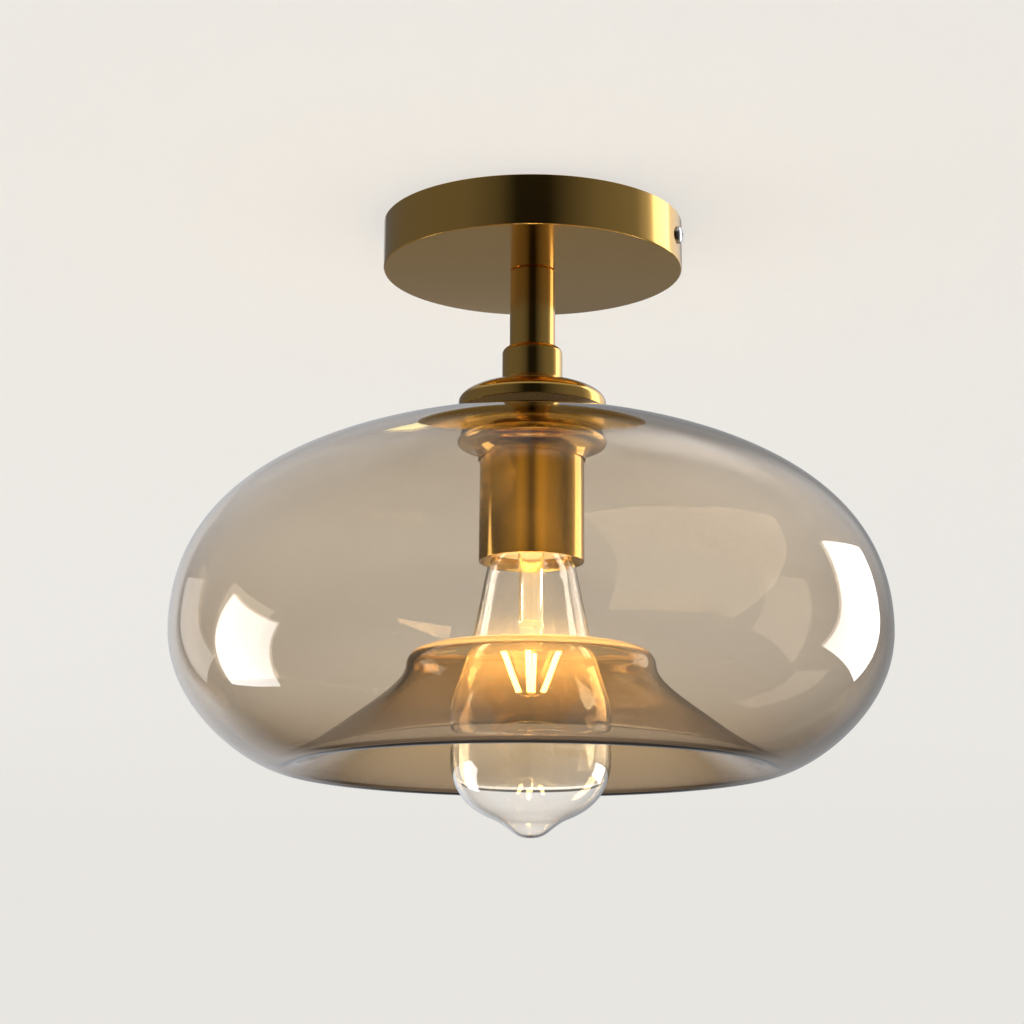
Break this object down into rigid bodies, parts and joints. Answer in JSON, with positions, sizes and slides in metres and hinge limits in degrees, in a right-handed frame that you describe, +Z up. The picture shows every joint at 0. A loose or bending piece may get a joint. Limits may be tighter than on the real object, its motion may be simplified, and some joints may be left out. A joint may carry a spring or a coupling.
{
  "type": "glass ceiling light",
  "caption": "Semi-flush ceiling light: brass canopy, stem and lampholder sleeve, wide smoky glass shade with an inner bell, flared retaining ring and a clear filament bulb.",
  "frame": {"origin": "centre of the canopy on the ceiling plane, midway between the bracket's two screw slots", "axes": "+Z up, out of the ceiling face along the lamp's axis; +X along the mounting bracket, through a side screw"},
  "size_m": [0.2808, 0.2808, 0.2466],
  "materials": {
    "brass": "satin brushed, lacquered",
    "raw_brass": "turned, uncoated",
    "zinc_steel": "bright zinc plated",
    "chrome": "polished",
    "porcelain": "glazed",
    "silicone": "moulded, matt",
    "smoked_glass": "blown, smoky amber",
    "clear_glass": "blown, clear",
    "nickel": "rolled, nickel plated",
    "black_glass": "fused black glass",
    "filament": "glowing phosphor coat",
    "wire_brown": "insulation",
    "wire_blue": "insulation",
    "wire_earth": "green and yellow insulation",
    "circuit_board": "printed board with parts"
  },
  "bodies": {
    "root": {"mounting_bracket": "zinc_steel", "canopy": "brass", "canopy_screws": "chrome", "terminal_block": "porcelain", "terminal_screws": "zinc_steel", "block_screws": "zinc_steel", "earth_tag": "raw_brass", "lock_washer": "zinc_steel", "rod_nuts": "raw_brass", "threaded_rod": "zinc_steel", "stem_tube": "brass", "stem_collar": "brass", "collar_washer": "brass", "shade_cap": "brass", "upper_gasket": "silicone", "sleeve_dome": "brass", "lampholder_sleeve": "brass", "lampholder_bracket": "zinc_steel", "lampholder_screws": "zinc_steel", "lampholder_body": "porcelain", "screw_shell": "raw_brass", "contact_spring": "raw_brass", "wire_terminals": "raw_brass", "live_wire": "wire_brown", "neutral_wire": "wire_blue", "earth_wire": "wire_earth"},
    "shade": {"glass_shade": "smoked_glass", "lower_gasket": "silicone"},
    "ring": {"retaining_ring": "brass"},
    "bulb_carrier": {"bulb_contact": "nickel"},
    "bulb": {"bulb_cap": "nickel", "bulb_insulator": "black_glass", "bulb_envelope": "clear_glass", "bulb_stem": "clear_glass", "filaments": "filament", "support_wires": "nickel", "bulb_driver": "circuit_board"}
  },
  "joints": [
    {"name": "shade_drop", "type": "slide", "parent": "root", "child": "shade", "axis": [0, 0, -1], "range_m": [0, 0.008]},
    {"name": "ring_turn", "type": "hinge", "parent": "shade", "child": "ring", "pos_m": [0, 0, -0.09], "axis": [0, 0, -1], "range_deg": [0, 1440]},
    {"name": "bulb_drop", "type": "slide", "parent": "root", "child": "bulb_carrier", "axis": [0, 0, -1], "range_m": [0, 0.01815]},
    {"name": "bulb_turn", "type": "hinge", "parent": "bulb_carrier", "child": "bulb", "pos_m": [0, 0, -0.12], "axis": [0, 0, -1], "range_deg": [0, 1800]}
  ],
  "couplings": [
    {"joint": "ring_turn", "follows": "shade_drop", "rad_per_m": 3141.6},
    {"joint": "bulb_turn", "follows": "bulb_drop", "rad_per_m": 1730.9}
  ]
}
